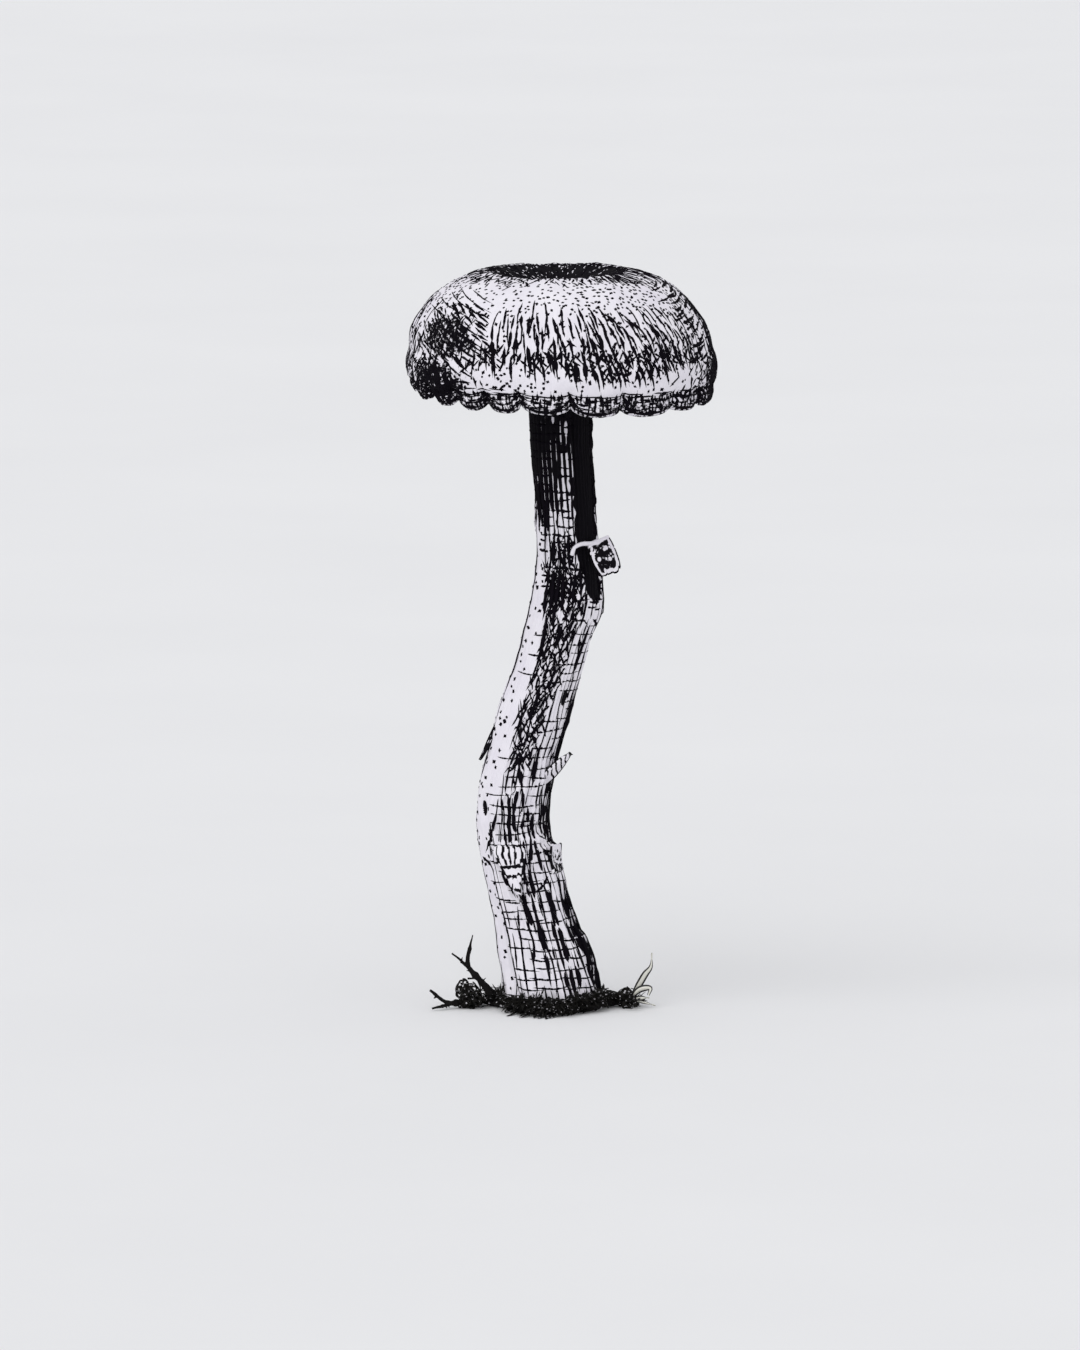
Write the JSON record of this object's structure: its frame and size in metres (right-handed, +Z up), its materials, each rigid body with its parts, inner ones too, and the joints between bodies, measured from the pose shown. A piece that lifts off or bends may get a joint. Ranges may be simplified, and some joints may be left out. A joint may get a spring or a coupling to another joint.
{
  "type": "amethyst deceiver mushroom",
  "caption": "Small upright woodland mushroom with a sunken, lobed cap, widely spaced gills, a bent fibrous stem with torn skin, and a clod of litter at its foot.",
  "frame": {"origin": "centre of the flat underside of the clod, straight below the middle of the stem's foot, on the surface it rests on", "axes": "+Z up, from the clod towards the cap; -Y is the front, the side that shows the bend of the stem to the left and back; +X is to the right of that view"},
  "size_m": [0.036, 0.036, 0.0868],
  "materials": {
    "cap_skin": "matt, finely felted skin with darker radial streaks and dots",
    "gill_flesh": "matt violet plates dusted with pale spores",
    "stem_fibre": "matt long fibres, dark towards the cap",
    "torn_skin": "matt dry skin torn away from the stem",
    "soil": "damp dark humus",
    "litter": "matted moss and leaf litter",
    "twig_bark": "thin dry bark",
    "grass": "dry grass blades"
  },
  "bodies": {
    "root": {"cap": "cap_skin", "gills": "gill_flesh", "stem": "stem_fibre", "clod": "soil", "litter_left": "litter", "litter_right": "litter", "twig_low": "twig_bark", "twig_high": "twig_bark", "grass_blades": "grass", "torn_flap": "torn_skin", "scale_left": "torn_skin", "scale_right": "torn_skin", "scale_low_right": "torn_skin", "tongue_front": "torn_skin"}
  },
  "joints": []
}
